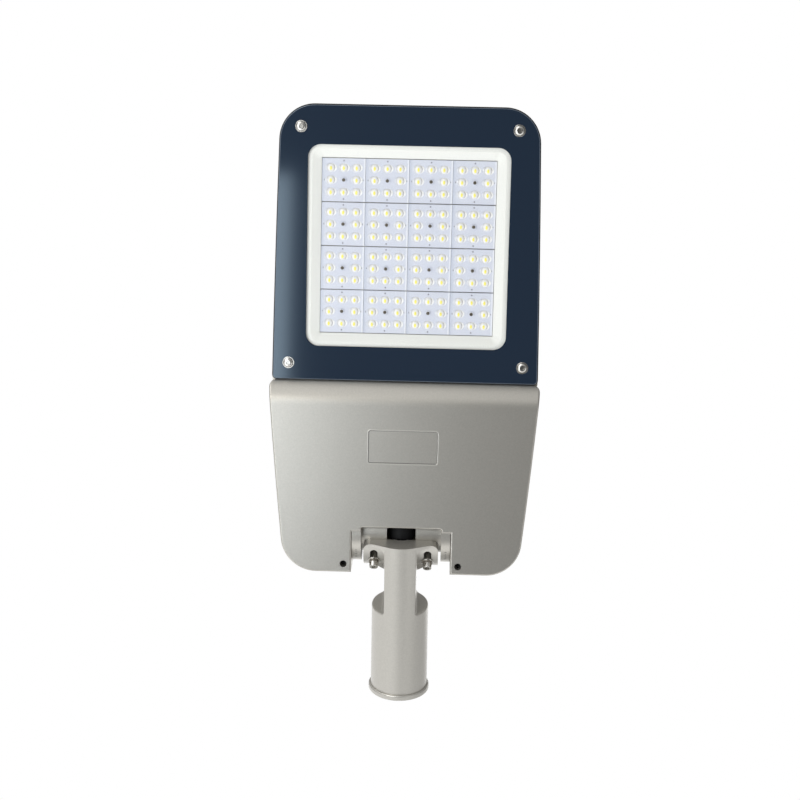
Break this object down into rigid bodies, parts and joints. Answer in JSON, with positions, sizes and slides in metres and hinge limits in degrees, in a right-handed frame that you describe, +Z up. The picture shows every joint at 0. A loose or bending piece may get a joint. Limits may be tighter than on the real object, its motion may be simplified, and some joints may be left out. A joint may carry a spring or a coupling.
{
  "type": "led street light head",
  "caption": "Flat street light head with a square lens field behind glass, a gear cover, cooling fins and a clamped tilting pole spigot.",
  "frame": {"origin": "centre of the pole socket's mouth", "axes": "+Z up the spigot's axis to the head's far end, -Y to the side the light leaves, +X to the right as seen from there"},
  "size_m": [0.3133, 0.1453, 0.6924],
  "materials": {
    "painted_casting": "fine sandy powder coat",
    "black_rubber": "matt",
    "stainless": "bright",
    "black_steel": "blackened",
    "printed_glass": "clear window in a dark printed border",
    "white_plastic": "satin",
    "clear_plastic": "clear moulded",
    "board_white": "solder mask",
    "led_yellow": "phosphor",
    "zinc_sheet": "zinc plated",
    "driver_case": "satin",
    "surge_case": "matt",
    "terminal_plastic": "matt",
    "black_plastic": "matt"
  },
  "bodies": {
    "spigot": {"spigot": "painted_casting", "pole_screws": "stainless"},
    "head": {"housing": "painted_casting", "gear_cover": "painted_casting", "cover_gasket": "black_rubber", "glass_gasket": "black_rubber", "gland_seal": "black_rubber", "lead_grommet": "black_rubber", "cover_screws": "black_steel", "glass_screws": "stainless", "module_screws": "black_steel", "tray_screws": "stainless", "driver_screws": "stainless", "surge_screws": "stainless", "terminal_screws": "stainless", "clamp_screws": "stainless", "flat_washers": "stainless", "spring_washers": "stainless", "front_glass": "printed_glass", "reflector_frame": "white_plastic", "gear_tray": "zinc_sheet", "led_driver": "driver_case", "surge_protector": "surge_case", "terminal_block": "terminal_plastic", "gland_body": "black_plastic", "gland_nut": "black_plastic", "gland_locknut": "black_plastic", "breather": "black_plastic", "lens_plate_1_1": "clear_plastic", "lens_plate_1_2": "clear_plastic", "lens_plate_1_3": "clear_plastic", "lens_plate_1_4": "clear_plastic", "lens_plate_2_1": "clear_plastic", "lens_plate_2_2": "clear_plastic", "lens_plate_2_3": "clear_plastic", "lens_plate_2_4": "clear_plastic", "lens_plate_3_1": "clear_plastic", "lens_plate_3_2": "clear_plastic", "lens_plate_3_3": "clear_plastic", "lens_plate_3_4": "clear_plastic", "lens_plate_4_1": "clear_plastic", "lens_plate_4_2": "clear_plastic", "lens_plate_4_3": "clear_plastic", "lens_plate_4_4": "clear_plastic", "light_board_1": "board_white", "light_board_2": "board_white", "light_board_3": "board_white", "light_board_4": "board_white", "leds_1": "led_yellow", "leds_2": "led_yellow", "leds_3": "led_yellow", "leds_4": "led_yellow"}
  },
  "joints": [
    {"name": "head_tilt", "type": "hinge", "parent": "spigot", "child": "head", "pos_m": [0, 0.0205, 0.2], "axis": [-1, 0, 0], "range_deg": [-10, 15]}
  ]
}
